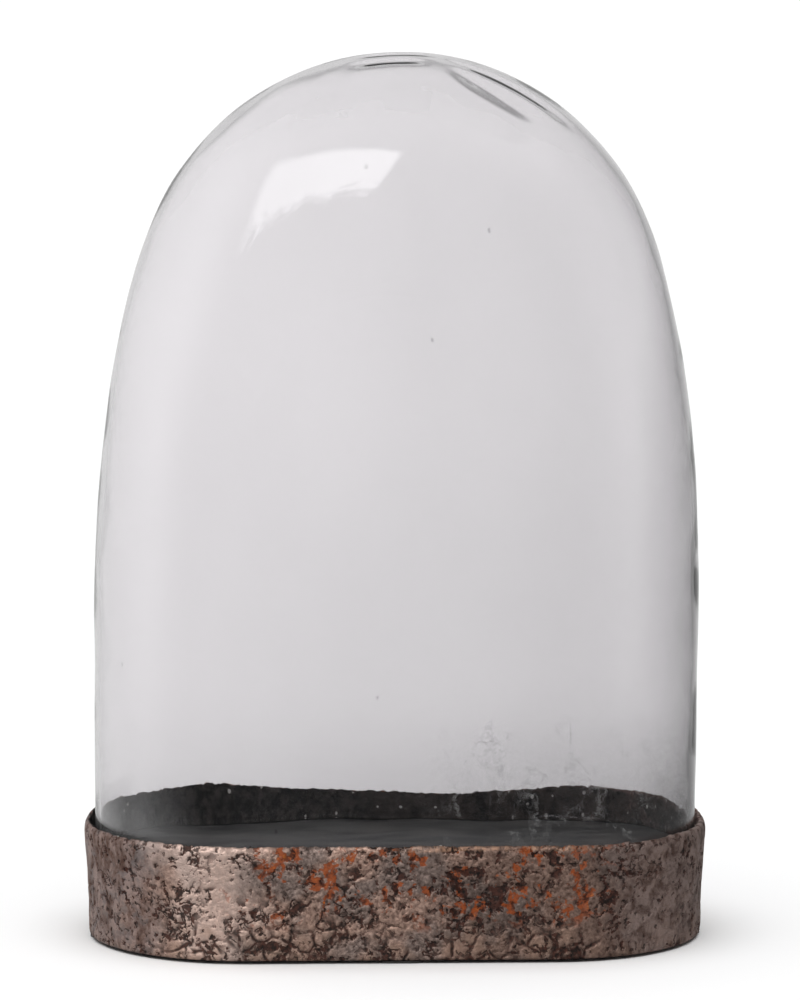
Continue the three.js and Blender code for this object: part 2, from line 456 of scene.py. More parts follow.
def light_only(light_object, pieces):
    """Keeps a lamp to the given pieces."""
    lit = bpy.data.collections.new("lit_by_" + light_object.name)
    for piece in pieces:
        lit.objects.link(piece)
    light_object.light_linking.receiver_collection = lit


# ---- glass dome ------------------------------------------------------------------------

def bezier(points, t):
    """A Bezier curve of any degree at the parameters t."""
    points = np.asarray(points, float)
    degree = len(points) - 1
    weights = [math.comb(degree, i) * t ** i * (1 - t) ** (degree - i) for i in range(degree + 1)]
    return np.stack(weights, -1) @ points


def glass_outline(levels):
    """Half width and height of the glass at levels from 0, the apex, to 1, the foot."""
    belly_half = DOME_HIGH.x + 0.12 * MM
    centre = APEX - CROWN_RADIUS
    foot = np.array([FOOT_HALF_WIDTH, DOME_LOW.z + GLASS_THICKNESS / 2])
    turn = np.linspace(0, CROWN_SWEEP, 200)
    crown = np.stack([CROWN_RADIUS * np.sin(turn), centre + CROWN_RADIUS * np.cos(turn)], -1)
    belly = np.array([belly_half, BELLY_HEIGHT])
    reach = np.linalg.norm(crown[-1] - belly)
    tangent = np.array([math.cos(CROWN_SWEEP), -math.sin(CROWN_SWEEP)])
    t = np.linspace(0, 1, 200)
    shoulder = bezier([crown[-1], crown[-1] + tangent * reach * 0.27,
                       belly + [0, reach * 0.34], belly], t)
    skirt = bezier([belly, [belly_half, (BELLY_HEIGHT + foot[1]) / 2], foot], t)
    line = np.concatenate([crown, shoulder[1:], skirt[1:]])
    length = np.concatenate([[0], np.cumsum(np.linalg.norm(np.diff(line, axis=0), axis=1))])
    at = np.asarray(levels) * length[-1]
    return np.interp(at, length, line[:, 0]), np.interp(at, length, line[:, 1])


def stadium_reach(direction, half_width, half_depth):
    """How far a stadium reaches along unit directions from its centre."""
    straight = half_width - half_depth
    across, along = np.abs(direction[..., 0]), np.abs(direction[..., 1])
    side = half_depth / np.maximum(along, 1e-9)
    end = straight * across + np.sqrt(np.maximum(half_depth ** 2 - (straight * along) ** 2, 0))
    return np.where(across * half_depth <= straight * along, side, end)


def glass_surface(levels, angles):
    """Points of the glass's outer face on a grid of levels and angles."""
    half_width, height = glass_outline(levels)
    half_width, height = half_width[:, None], height[:, None]
    descent = (APEX - height) / (APEX - DOME_LOW.z)
    foot_ratio = FOOT_HALF_DEPTH / FOOT_HALF_WIDTH
    ratio = CROWN_DEPTH_RATIO + (foot_ratio - CROWN_DEPTH_RATIO) * smoothstep(descent, 0, 0.5)
    half_depth = half_width * ratio
    ellipse = np.stack([half_width * np.cos(angles), half_depth * np.sin(angles)], -1)
    direction = ellipse / np.maximum(np.linalg.norm(ellipse, axis=-1, keepdims=True), 1e-9)
    reach = stadium_reach(direction, half_width, half_depth)
    weight = smoothstep(descent, 0, 0.55)[..., None]
    plan = ellipse * (1 - weight) + direction * reach[..., None] * weight
    return np.concatenate([plan, np.broadcast_to(height[..., None], plan[..., :1].shape)], -1)


def surface_normals(grid):
    """Outward unit normals of a grid whose columns run round, seen from above clockwise."""
    down = np.gradient(grid, axis=0)
    around = (np.roll(grid, -1, 1) - np.roll(grid, 1, 1)) / 2
    normal = np.cross(around, down)
    return normal / np.maximum(np.linalg.norm(normal, axis=-1, keepdims=True), 1e-12)


def fold(points, start, end, bow, width):
    """A rounded ridge of height 1 over a bowed line, in plan, that tapers to its ends."""
    start, end = np.array(start) * MM, np.array(end) * MM
    line = end - start
    length = np.linalg.norm(line)
    along = (points[..., :2] - start) @ line / length ** 2
    across = np.array([-line[1], line[0]]) / length
    arch = bow * MM * 4 * along * (1 - along)
    off = (points[..., :2] - start) @ across - arch
    taper = smoothstep(along, 0, 0.35) * (1 - smoothstep(along, 0.65, 1))
    return np.exp(-(off / (width * MM)) ** 2) * taper * (points[..., 2] > BELLY_HEIGHT)


def make_glass():
    """The blown glass: an outer face, a round lip and an inner face, on one grid."""
    columns = GLASS_COLUMNS
    angles = -2 * math.pi * (np.arange(columns) + 0.5) / columns
    levels = np.concatenate([np.linspace(0.004, 0.2, CROWN_LEVELS, endpoint=False),
                             np.linspace(0.2, 1, BODY_LEVELS)])
    outer = glass_surface(levels, angles)
    outward = surface_normals(outer)
    # hand-blown: the dome leans a little, and both faces wave gently and not alike
    outer[..., 0] += LEAN * smoothstep(outer[..., 2], FLOOR_TOP, APEX)
    calm = smoothstep(outer[..., 2], FLOOR_TOP, FLOOR_TOP + 30 * MM)
    ripple = wander(outer * [1, 1, 1.6], 70 * MM, 1) * 0.35 + wander(outer, 24 * MM, 2) * 0.12
    under = wander(outer * [1, 1, 0.7], 55 * MM, 3) * 0.30
    for ridge, start, end, bow, width in FOLDS:
        under = under + ridge * fold(outer, start, end, bow, width)
    inner = outer - outward * (GLASS_THICKNESS + (under * MM * calm))[..., None]
    outer = outer + outward * ((ripple - 0.3) * MM * calm)[..., None]
    lip_low = (outer[-1] * 0.7 + inner[-1] * 0.3) - [0, 0, GLASS_THICKNESS * 0.45]
    lip_high = (outer[-1] * 0.3 + inner[-1] * 0.7) - [0, 0, GLASS_THICKNESS * 0.45]
    grid = np.concatenate([outer, lip_low[None], lip_high[None], inner[::-1]])
    faces = grid_faces(len(grid), columns)
    count = grid.shape[0] * columns
    last = count - columns
    for i in range(columns):
        j = (i + 1) % columns
        faces.append((count, j, i))
        faces.append((count + 1, last + i, last + j))
    poles = [outer[0].mean(0) + [0, 0, 0.02 * MM], inner[0].mean(0)]
    vertices = np.concatenate([grid.reshape(-1, 3), poles])
    dome = make_object("blown_glass_dome", vertices, faces, glass_material())
    return place(dome, "dome", "blown_glass", "glass_dome")


def glass_material():
    """Smoky clear glass with a few seeds and some dirt, and painted shade towards the foot and
    the right. It lets light through to the tray.
    """
    material, nodes, shader, output = new_material("blown_glass")
    position = nodes.position()
    x, _, z = nodes.split(position)
    # painted shade: greyer towards the foot and the right, over the glass's own tint
    tint_and_shade = nodes.blend(nodes.step(z, 90 * MM, 320 * MM), *GLASS_TINT_AND_SHADE)
    foot = nodes.fall(z, 45 * MM, 120 * MM)
    right = nodes.step(x, -150 * MM, 150 * MM)
    foot = nodes.times(foot, nodes.gain(right, 0.12, 0.06))
    tint_and_shade = nodes.math("SUBTRACT", tint_and_shade, foot)
    clouds = nodes.noise(nodes.stretch(position, 1, 1, 0.5), 60 * MM, 3)
    tint_and_shade = nodes.sway(clouds, 0.06, tint_and_shade)
    # painted shade: darker towards the right, and darker still in a band near the right end
    tint_and_shade = nodes.gain(right, -0.08, tint_and_shade)
    side_shade_band = nodes.step(x, 116 * MM, 136 * MM)
    tint_and_shade = nodes.gain(side_shade_band, -0.09, tint_and_shade)
    seeds = nodes.cells(nodes.stretch(position, 1, 1, 0.6), 42 * MM)
    seed = nodes.fall(seeds, 0.012, 0.028)
    tint_and_shade = nodes.gain(seed, -0.35, tint_and_shade)
    green = nodes.times(tint_and_shade, GREEN_SHARE)
    smoke_and_shade = nodes.add("ShaderNodeCombineColor", {0: tint_and_shade, 1: green, 2: tint_and_shade})
    nodes.feed(shader.inputs["Base Color"], smoke_and_shade.outputs[0])
    shader.inputs["Roughness"].default_value = 0.0
    shader.inputs["IOR"].default_value = 1.5
    shader.inputs["Transmission Weight"].default_value = 1.0
    ripple = nodes.noise(nodes.stretch(position, 1, 1, 0.5), 9 * MM, 2)
    nodes.bump(shader, ripple, 0.06, 0.4 * MM)
    film = nodes.add("ShaderNodeBsdfDiffuse", {"Color": GLASS_DUST})
    dusty = nodes.add("ShaderNodeMixShader")
    nodes.feed(dusty.inputs[0], glass_dirt(nodes, position))
    nodes.feed(dusty.inputs[1], shader.outputs[0])
    nodes.feed(dusty.inputs[2], film.outputs[0])
    clear = nodes.add("ShaderNodeBsdfTransparent", {"Color": GLASS_SHADOW})
    shadow = nodes.add("ShaderNodeLightPath").outputs["Is Shadow Ray"]
    mixed = nodes.add("ShaderNodeMixShader")
    nodes.feed(mixed.inputs[0], shadow)
    nodes.feed(mixed.inputs[1], dusty.outputs[0])
    nodes.feed(mixed.inputs[2], clear.outputs[0])
    nodes.feed(output.inputs["Surface"], mixed.outputs[0])
    return material


def glass_dirt(nodes, position):
    """Dust at the foot, tide marks and thin vertical scratches, as a mask of 0 to 0.3."""
    x, _, z = nodes.split(position)
    foot = nodes.fall(z, 44 * MM, 74 * MM)
    left = nodes.fall(x, -138 * MM, -88 * MM)
    grime = nodes.noise(nodes.stretch(position, 1, 1, 0.6), 14 * MM, 4, 0.65)
    dust = nodes.times(foot, nodes.gain(left, 0.2, 0.01))
    dust = nodes.times(dust, nodes.step(grime, 0.25, 0.65))

    stained = nodes.times(nodes.step(x, 8 * MM, 34 * MM), nodes.fall(z, 84 * MM, 98 * MM))
    water = nodes.noise(nodes.shift(position, (0.5, 0, 0)), 30 * MM, 4, 0.6)
    from_line = nodes.math("ABSOLUTE", nodes.math("SUBTRACT", water, 0.5))
    tide = nodes.fall(from_line, 0.004, 0.016)
    tide = nodes.times(tide, nodes.step(grime, 0.44, 0.56))
    lines = nodes.noise(nodes.stretch(position, 1, 1, 0.06), 4 * MM, 3, 0.6)
    scratch = nodes.times(nodes.step(lines, 0.67, 0.71), nodes.step(grime, 0.48, 0.56))
    marks = nodes.times(nodes.math("MAXIMUM", tide, scratch), stained)
    return nodes.gain(marks, 0.11, dust, clamp=True)


# ---- tray wall -------------------------------------------------------------------------

def round_corners(points, passes):
    """Cuts the corners of a closed outline, a few times over."""
    for _ in range(passes):
        after = np.roll(points, -1, 0)
        points = np.stack([points * 0.75 + after * 0.25, points * 0.25 + after * 0.75], 1)
        points = points.reshape(-1, 2)
    return points


def resample(points, spacings):
    """Points along a closed outline whose spacing follows spacings(inset, height)."""
    closed = np.concatenate([points, points[:1]])
    fine = np.concatenate([np.linspace(a, b, 40, endpoint=False)
                           for a, b in zip(closed[:-1], closed[1:])])
    gap = np.linalg.norm(np.roll(fine, -1, 0) - fine, axis=1)
    count_along = np.concatenate([[0], np.cumsum(gap / spacings(fine[:, 0], fine[:, 1]))])
    count = int(round(count_along[-1]))
    at = np.linspace(0, count_along[-1], count, endpoint=False)
    fine = np.concatenate([fine, fine[:1]])
    return np.stack([np.interp(at, count_along, fine[:, i]) for i in (0, 1)], -1)


def stadium_path(count):
    """Centres and outward directions of about that many stations round the stadium."""
    arc = math.pi * END_RADIUS
    share = count / (2 * arc + 4 * STRAIGHT_HALF)
    sliding = np.linspace(-1, 1, round(share * 2 * STRAIGHT_HALF), endpoint=False)
    turning = np.linspace(-math.pi / 2, math.pi / 2, round(share * arc), endpoint=False)
    ones = np.ones_like(sliding)
    front = np.stack([sliding * STRAIGHT_HALF, 0 * ones, 0 * ones, -ones], -1)
    right = np.stack([0 * turning + STRAIGHT_HALF, 0 * turning,
                      np.cos(turning), np.sin(turning)], -1)
    half = np.concatenate([front, right])
    stations = np.concatenate([half, -half])
    return stations[:, :2], stations[:, 2:]


def sweep_section(section, count):
    """A grid of the section, rows, swept round the stadium, columns."""
    centre, outward = stadium_path(count)
    out = END_RADIUS - section[:, 0][:, None]
    x = centre[:, 0] + outward[:, 0] * out
    y = centre[:, 1] + outward[:, 1] * out
    return np.stack([x, y, np.broadcast_to(section[:, 1][:, None], x.shape)], -1)


def make_tray_wall():
    """The rough ring of the tray, whose section is (inset, height) from its outer foot."""
    inside = RIM_THICKNESS + LEDGE_WIDTH
    ledge = FLOOR_LOW.z - REST_GAP
    skin = CRUST - CRUST_DIP
    section = np.array([
        [DRAFT + 0.9 * MM, TRAY_FOOT], [DRAFT + skin, TRAY_FOOT + 1.2 * MM],
        [DRAFT + skin, RIM_HEIGHT * 0.35], [DRAFT * 0.3 + skin, RIM_HEIGHT * 0.74],
        [skin, RIM_HEIGHT - 5 * MM], [0.4 * MM + skin, RIM_HEIGHT - 1.8 * MM],
        [1.9 * MM, RIM_HEIGHT - 0.5 * MM], [2.7 * MM, RIM_HEIGHT - 0.5 * MM],
        [RIM_THICKNESS - 0.2 * MM, RIM_HEIGHT - 1.5 * MM],
        [RIM_THICKNESS, RIM_HEIGHT - 3.4 * MM], [RIM_THICKNESS, ledge],
        [inside, ledge], [inside, TRAY_FOOT]])
    section = round_corners(section, 2)

    def spacing(inset, height):
        outside = (inset < 3.4 * MM) & (height > TRAY_FOOT + 0.2 * MM)
        rim_inside = (inset < RIM_THICKNESS + 0.5 * MM) & (height > ledge)
        return np.where(outside, 0.78, np.where(rim_inside, 1.0, 4.0)) * MM

    section = resample(section, spacing)
    grid = sweep_section(section, WALL_STATIONS)
    faces = grid_faces(*grid.shape[:2], wrap_rows=True)
    bare = make_object("bare_tray_wall", grid, faces, tray_material())
    wall = roughened("rough_tray_wall", bare, crust_tree())
    return place(wall, "tray", "rusted_iron", "tray_wall")


def roughened(name, bare, tree):
    """The mesh that a geometry tree makes of a bare piece, which is then thrown away."""
    modifier = bare.modifiers.new("roughen", "NODES")
    modifier.node_group = tree
    ready = bare.evaluated_get(bpy.context.evaluated_depsgraph_get())
    mesh = bpy.data.meshes.new_from_object(ready)
    mesh.name = name
    rough = bpy.data.objects.new(name, mesh)
    bpy.context.scene.collection.objects.link(rough)
    bpy.data.objects.remove(bare)
    return rough


def tray_inset(nodes, x, y):
    """How far a place lies inside the tray's outline."""
    beyond = nodes.math("MAXIMUM", nodes.math("SUBTRACT", nodes.math("ABSOLUTE", x),
                                              STRAIGHT_HALF), 0)
    squares = nodes.math("ADD", nodes.math("POWER", beyond, 2), nodes.times(y, y))
    reach = nodes.math("SQRT", squares)
    return nodes.math("SUBTRACT", END_RADIUS, reach)


def crust_pattern(nodes, position):
    """The tray's crust at each place, as masks of 0 to 1, shared by mesh and material."""
    x, y, z = nodes.split(position)
    drift = nodes.noise(position, 45 * MM, 3)
    along = nodes.sway(drift, 80 * MM, x)
    up = nodes.sway(drift, 30 * MM, z)
    smeared = nodes.fall(along, *SMEARED_UNTIL)
    calm = nodes.step(along, *CALM_FROM)
    busy = nodes.invert(nodes.math("MAXIMUM", smeared, calm))
    still = nodes.invert(busy)
    bent = nodes.noise_vector(position, 9 * MM, 3.2 * MM)

    # round cobbles low on the wall, parted by dark cracks
    low = nodes.fall(up, 12 * MM, 27 * MM)
    lumps = nodes.noise(nodes.shift(position, (0.3, 0, 0)), 26 * MM, 2)
    low = nodes.times(low, nodes.step(lumps, 0.36, 0.5))
    low = nodes.times(low, nodes.gain(busy, 0.7, 0.3))
    cell = nodes.cells(bent, 9.5 * MM)
    cobble = nodes.fall(cell, 0.15, 0.78)
    seam = nodes.cells(bent, 9.5 * MM, "DISTANCE_TO_EDGE")
    crack = nodes.fall(seam, 0.03, 0.13)
    ragged = nodes.noise(nodes.shift(position, (0, 0.2, 0)), 3.2 * MM, 3)
    crack = nodes.times(crack, nodes.step(ragged, 0.32, 0.46))
    crack = nodes.times(crack, low)

    # branching veins and pits where the skin has flaked away
    vein_noise = nodes.noise(bent, 15 * MM, 4, 0.62)
    from_vein = nodes.math("ABSOLUTE", nodes.math("SUBTRACT", vein_noise, 0.5))
    from_vein = nodes.gain(still, 0.012, from_vein)
    vein = nodes.fall(from_vein, 0.012, 0.036)
    vein_gaps = nodes.noise(nodes.shift(position, (0.1, 0.4, 0)), 17 * MM, 2)
    vein = nodes.times(vein, nodes.step(vein_gaps, 0.50, 0.58))
    pit_noise = nodes.noise(nodes.shift(bent, (0, 0, 0.5)), 4.6 * MM, 3, 0.6)
    pit_noise = nodes.gain(still, -0.05, pit_noise)
    pit_zone = nodes.noise(nodes.shift(position, (0.6, 0, 0)), 24 * MM, 2)
    pit = nodes.times(nodes.step(pit_noise, 0.525, 0.58), nodes.step(pit_zone, 0.38, 0.52))
    hollow = nodes.math("MAXIMUM", nodes.math("MAXIMUM", vein, pit), crack)
    # small pits nearly everywhere
    prick_noise = nodes.noise(nodes.shift(position, (0.7, 0.3, 0)), 2.6 * MM, 2, 0.5)
    prick_zone = nodes.noise(nodes.shift(position, (0.4, 0, 0.2)), 12 * MM, 3)
    prick = nodes.times(nodes.step(prick_noise, 0.585, 0.64), nodes.step(prick_zone, 0.40, 0.54))
    hollow = nodes.math("MAXIMUM", hollow, nodes.times(prick, 0.85))

    # bare rust in the middle of the wall
    rust_noise = nodes.noise(nodes.shift(bent, (0.9, 0, 0)), 19 * MM, 5, 0.68)
    rust = nodes.step(rust_noise, 0.505, 0.545)
    rust = nodes.times(rust, nodes.step(up, 15 * MM, 25 * MM))
    rust = nodes.times(rust, nodes.step(along, *RUST_FROM))
    rust = nodes.times(rust, busy)
    islands = nodes.noise(nodes.shift(position, (0, 0, 0.8)), 5 * MM, 3)
    rust = nodes.times(rust, nodes.step(islands, 0.47, 0.51))

    grain_cell = nodes.cells(nodes.noise_vector(position, 4 * MM, 0.8 * MM), 1.9 * MM)
    grain = nodes.fall(grain_cell, 0.1, 0.8)
    swell = nodes.noise(nodes.shift(position, (0, 0.7, 0)), 30 * MM, 2)
    scale = nodes.noise(bent, 7 * MM, 3)
    inset = tray_inset(nodes, x, y)
    lean = nodes.fall(z, RIM_HEIGHT * 0.35, RIM_HEIGHT - 5 * MM)
    depth = nodes.gain(lean, -DRAFT, inset)
    edge = nodes.sway(scale, 2.4 * MM, depth)
    edge = nodes.gain(nodes.step(x, 60 * MM, 130 * MM), -1.1 * MM, edge)
    inner = nodes.step(edge, 2.1 * MM, 2.7 * MM)
    return {"smeared": smeared, "calm": calm, "busy": busy, "low": low, "cobble": cobble,
            "hollow": hollow, "rust": rust, "grain": grain, "swell": swell, "scale": scale,
            "inset": inset, "inner": inner, "height": z}


def crust_tree():
    """Raises the bare wall into its crust, and keeps each point's place before that."""
    tree = bpy.data.node_groups.new("crust", "GeometryNodeTree")
    tree.interface.new_socket("Geometry", in_out="INPUT", socket_type="NodeSocketGeometry")
    tree.interface.new_socket("Geometry", in_out="OUTPUT", socket_type="NodeSocketGeometry")
    nodes = Nodes(tree)
    bare = nodes.add("NodeGroupInput").outputs[0]
    position = nodes.add("GeometryNodeInputPosition").outputs[0]
    kept = nodes.add("GeometryNodeStoreNamedAttribute", {"Geometry": bare, "Name": "bare_place"},
                     data_type="FLOAT_VECTOR", domain="POINT")
    nodes.feed([s for s in kept.inputs if s.name == "Value" and s.enabled][0], position)
    p = crust_pattern(nodes, position)

    rise = nodes.gain(p["swell"], 0.8, 0.35)
    rise = nodes.sway(p["scale"], 0.5, rise)
    cobbles = nodes.times(p["low"], p["cobble"])
    rise = nodes.gain(cobbles, 0.7, rise)
    grain = nodes.times(p["grain"], nodes.gain(p["busy"], 0.14, 0.04))
    rise = nodes.math("ADD", rise, grain)
    rise = nodes.gain(p["rust"], -0.3, rise)
    rise = nodes.gain(p["hollow"], -0.62, rise)
    rise = nodes.math("MAXIMUM", nodes.math("MINIMUM", rise, 1), 0)
    rise = nodes.gain(rise, CRUST, -CRUST_DIP)
    outside = nodes.fall(p["inset"], 2.9 * MM, 3.3 * MM)
    above = nodes.step(p["height"], TRAY_FOOT + 0.3 * MM, TRAY_FOOT + 2 * MM)
    rise = nodes.times(rise, nodes.times(outside, above))
    # the inner face is rough too, down to the floor panel
    lining = nodes.step(p["height"], FLOOR_TOP, FLOOR_TOP + 4 * MM)
    pocks = nodes.times(nodes.math("SUBTRACT", p["scale"], 0.4), 1.2 * MM)
    pocks = nodes.times(pocks, nodes.math("SUBTRACT", lining, outside, clamp=True))
    rise = nodes.math("ADD", rise, pocks)
    x, y, _ = nodes.split(position)
    thicker = nodes.blend(nodes.step(x, -110 * MM, 120 * MM), -0.5 * MM, 0.5 * MM)
    thicker = nodes.times(thicker, nodes.invert(outside))
    thicker = nodes.times(thicker, nodes.step(p["height"], FLOOR_TOP, FLOOR_TOP + 4 * MM))
    rise = nodes.math("ADD", rise, thicker)

    normal = nodes.add("GeometryNodeInputNormal").outputs[0]
    moved = nodes.add("ShaderNodeVectorMath", {0: normal, 3: rise}, operation="SCALE").outputs[0]
    ragged = nodes.noise(nodes.shift(position, (0, 0, 0.3)), 5 * MM, 3, 0.65)
    lip = nodes.step(p["height"], RIM_HEIGHT - 4 * MM, RIM_HEIGHT - 1 * MM)
    drop = nodes.times(nodes.math("SUBTRACT", ragged, 0.62), lip)
    drop = nodes.times(drop, 2.4 * MM)
    corners = nodes.times(nodes.step(y, -5 * MM, 45 * MM),
                          nodes.step(nodes.math("ABSOLUTE", x), 40 * MM, 105 * MM))
    rising = nodes.times(corners, nodes.step(p["height"], 40 * MM, RIM_HEIGHT))
    drop = nodes.gain(rising, REAR_CORNER_RISE, drop)
    moved = nodes.add("ShaderNodeVectorMath",
                      {0: moved, 1: nodes.add("ShaderNodeCombineXYZ", {2: drop}).outputs[0]},
                      operation="ADD").outputs[0]
    raised = nodes.add("GeometryNodeSetPosition", {"Geometry": kept.outputs[0], "Offset": moved})
    output = nodes.add("NodeGroupOutput")
    tree.links.new(raised.outputs[0], output.inputs[0])
    return tree


def tray_material():
    """Crusted, rusted iron outside and a near-black lining inside, with painted sheen on the left
    and painted shade towards the right.
    """
    material, nodes, shader, _ = new_material("rusted_iron")
    place_node = nodes.add("ShaderNodeAttribute", attribute_name="bare_place")
    position = place_node.outputs["Vector"]
    p = crust_pattern(nodes, position)

    fine = nodes.noise(position, 2.2 * MM, 4, 0.7)
    cloud = nodes.noise(nodes.shift(position, (0.2, 0, 0)), 22 * MM, 3)
    tone = nodes.sway(fine, 2.1, 0.42)
    tone = nodes.gain(p["grain"], 0.25, tone, clamp=True)
    beige = nodes.mix(tone, *BEIGE)
    grey = nodes.mix(tone, *GREY)
    skin = nodes.mix(nodes.step(cloud, 0.42, 0.6), beige, grey)

    x, _, _ = nodes.split(position)
    along = nodes.sway(cloud, 50 * MM, x)

    # vertical brown and purple-grey smears at the left end, dull grey-brown at the right,
    # darkened there partly as painted shade
    bent_place = nodes.noise_vector(position, 12 * MM, 5 * MM)
    streaks = nodes.noise(nodes.stretch(bent_place, 1, 1, 0.45), 8 * MM, 5, 0.65)
    smears = nodes.mix(nodes.step(streaks, 0.36, 0.62), *SMEARS)
    blotch = nodes.noise(nodes.shift(bent_place, (0.4, 0, 0)), 8 * MM, 4, 0.65)
    blotch = nodes.step(blotch, 0.5, 0.62)
    smears = nodes.mix(nodes.times(blotch, 0.7), smears, SMEAR_BLOTCH)
    skin = nodes.mix(nodes.times(p["smeared"], 0.85), skin, smears)
    dull_and_shade = nodes.mix(nodes.step(nodes.noise(bent_place, 7 * MM, 5, 0.7), 0.34, 0.62), *DULL_SKIN_AND_SHADE)
    skin = nodes.mix(nodes.times(p["calm"], 0.85), skin, dull_and_shade)
    # a paler band on the left curve: partly a paler skin, partly a painted sheen where the
    # softbox's highlight falls
    pale = nodes.times(nodes.step(along, *PALE_AND_SHEEN_FROM), nodes.fall(along, *PALE_AND_SHEEN_UNTIL))
    skin = nodes.mix(nodes.times(pale, 0.55), skin, PALE_SKIN_AND_SHEEN)
    # a darker band right of the middle: partly a darker skin, partly painted shade
    dark = nodes.math("SUBTRACT", nodes.step(along, *DARK_AND_SHADE_FROM), nodes.step(along, *DARK_AND_SHADE_UNTIL))
    skin = nodes.mix(nodes.times(dark, 0.42), skin, DARK_SKIN_AND_SHADE)
    tops = nodes.times(nodes.times(p["low"], p["cobble"]), 0.5)
    skin = nodes.mix(tops, skin, COBBLE_TOP)

    flame = nodes.noise(nodes.shift(position, (0, 0.1, 0)), 3.6 * MM, 5, 0.7)
    rust = nodes.mix(nodes.step(flame, 0.34, 0.54), *RUST)
    rust = nodes.mix(nodes.step(flame, 0.60, 0.70), rust, BRIGHT_RUST)
    skin = nodes.mix(nodes.times(p["rust"], 0.92), skin, rust)
    hollow_tone = nodes.mix(nodes.step(fine, 0.4, 0.62), *HOLLOW)
    skin = nodes.mix(nodes.times(p["hollow"], 0.95), skin, hollow_tone)

    # the lip is rubbed to a tan edge right of the middle
    rubbed = nodes.times(nodes.step(x, *RUBBED_FROM), nodes.fall(x, *RUBBED_UNTIL))
    top_edge = nodes.sway(cloud, 5 * MM, p["height"])
    top_edge = nodes.step(top_edge, RIM_HEIGHT - 3.4 * MM, RIM_HEIGHT - 2.2 * MM)
    rubbed = nodes.times(rubbed, top_edge)
    rubbed = nodes.times(rubbed, nodes.step(fine, 0.4, 0.56))
    skin = nodes.mix(nodes.times(rubbed, 0.7), skin, RUBBED_LIP)

    lining = nodes.mix(nodes.step(nodes.noise(position, 4 * MM, 5, 0.75), 0.4, 0.62), *LINING)
    wear = nodes.noise(position, 16 * MM, 4, 0.65)
    worn = nodes.times(nodes.step(x, -90 * MM, 110 * MM), nodes.step(wear, 0.36, 0.6))
    lining = nodes.mix(nodes.times(worn, 0.7), lining, WORN_LINING)
    specks = nodes.cells(position, 6.5 * MM)
    speck_noise = nodes.noise(position, 15 * MM, 1)
    speck = nodes.times(nodes.fall(specks, 0.10, 0.16), nodes.step(speck_noise, 0.42, 0.48))
    lining = nodes.mix(speck, lining, SPECK)
    colour = nodes.mix(p["inner"], skin, lining)
    nodes.feed(shader.inputs["Base Color"], colour)

    bare_rust = nodes.math("MAXIMUM", nodes.math("MAXIMUM", p["rust"], p["hollow"]), p["inner"])
    metal = nodes.times(nodes.invert(bare_rust), 0.7)
    nodes.feed(shader.inputs["Metallic"], metal)
    rough = nodes.gain(fine, 0.3, 0.38)
    nodes.feed(shader.inputs["Roughness"], nodes.blend(bare_rust, rough, 0.85))
    shader.inputs["Specular IOR Level"].default_value = 0.2

    grit = nodes.noise(position, 0.8 * MM, 3, 0.6)
    relief = nodes.gain(grit, 0.5, fine)
    relief = nodes.gain(p["hollow"], -0.6, relief)
    nodes.bump(shader, relief, 0.8, 0.7 * MM)
    return material


# ---- floor panel, bead and pads --------------------------------------------------------

def make_floor_panel():
    """The slate-grey panel that the glass stands on, laid on the tray's shelf."""
    edge = RIM_THICKNESS + REST_GAP
    round_off = 0.5 * MM
    to_middle = np.linspace(edge + round_off, END_RADIUS, 28)
    section = [[inset, FLOOR_LOW.z] for inset in to_middle[::-1]]
    section += [[edge + 0.1 * MM, FLOOR_LOW.z + 0.15 * MM], [edge, FLOOR_LOW.z + round_off],
                [edge, FLOOR_TOP - round_off], [edge + 0.1 * MM, FLOOR_TOP - 0.15 * MM]]
    section += [[inset, FLOOR_TOP] for inset in to_middle]
    grid = sweep_section(np.array(section), PANEL_STATIONS)
    top = slice(len(to_middle) + 4, None)
    grid[top, :, 2] += np.minimum(wander(grid[top], 40 * MM, 5) * 0.18 - 0.12, 0) * MM
    panel = make_object("slate_floor_panel", grid, grid_faces(*grid.shape[:2]), slate_material())
    join_middle(panel)
    return place(panel, "tray", "slate_panel", "tray_floor")


def join_middle(obj):
    """Closes a swept panel where its front and rear halves meet."""
    shell = bmesh.new()
    shell.from_mesh(obj.data)
    bmesh.ops.remove_doubles(shell, verts=shell.verts, dist=0.01 * MM)
    shell.to_mesh(obj.data)
    shell.free()


def slate_material():
    material, nodes, shader, _ = new_material("slate_panel")
    position = nodes.position()
    streaks = nodes.noise(nodes.stretch(position, 0.25, 1, 1), 8 * MM, 4, 0.6)
    cloud = nodes.noise(position, 30 * MM, 3)
    slate = nodes.mix(nodes.step(streaks, 0.3, 0.7), *SLATE)
    slate = nodes.mix(nodes.times(nodes.step(cloud, 0.45, 0.7), 0.5), slate, SLATE_CLOUD)
    dust = nodes.step(nodes.noise(position, 1.4 * MM, 2), 0.66, 0.74)
    slate = nodes.mix(nodes.times(dust, 0.35), slate, SLATE_DUST)
    nodes.feed(shader.inputs["Base Color"], slate)
    nodes.feed(shader.inputs["Roughness"], nodes.gain(streaks, 0.3, 0.3))
    scratches = nodes.noise(nodes.stretch(position, 0.1, 1, 1), 2 * MM, 3)
    nodes.bump(shader, scratches, 0.3, 0.2 * MM)
    return material


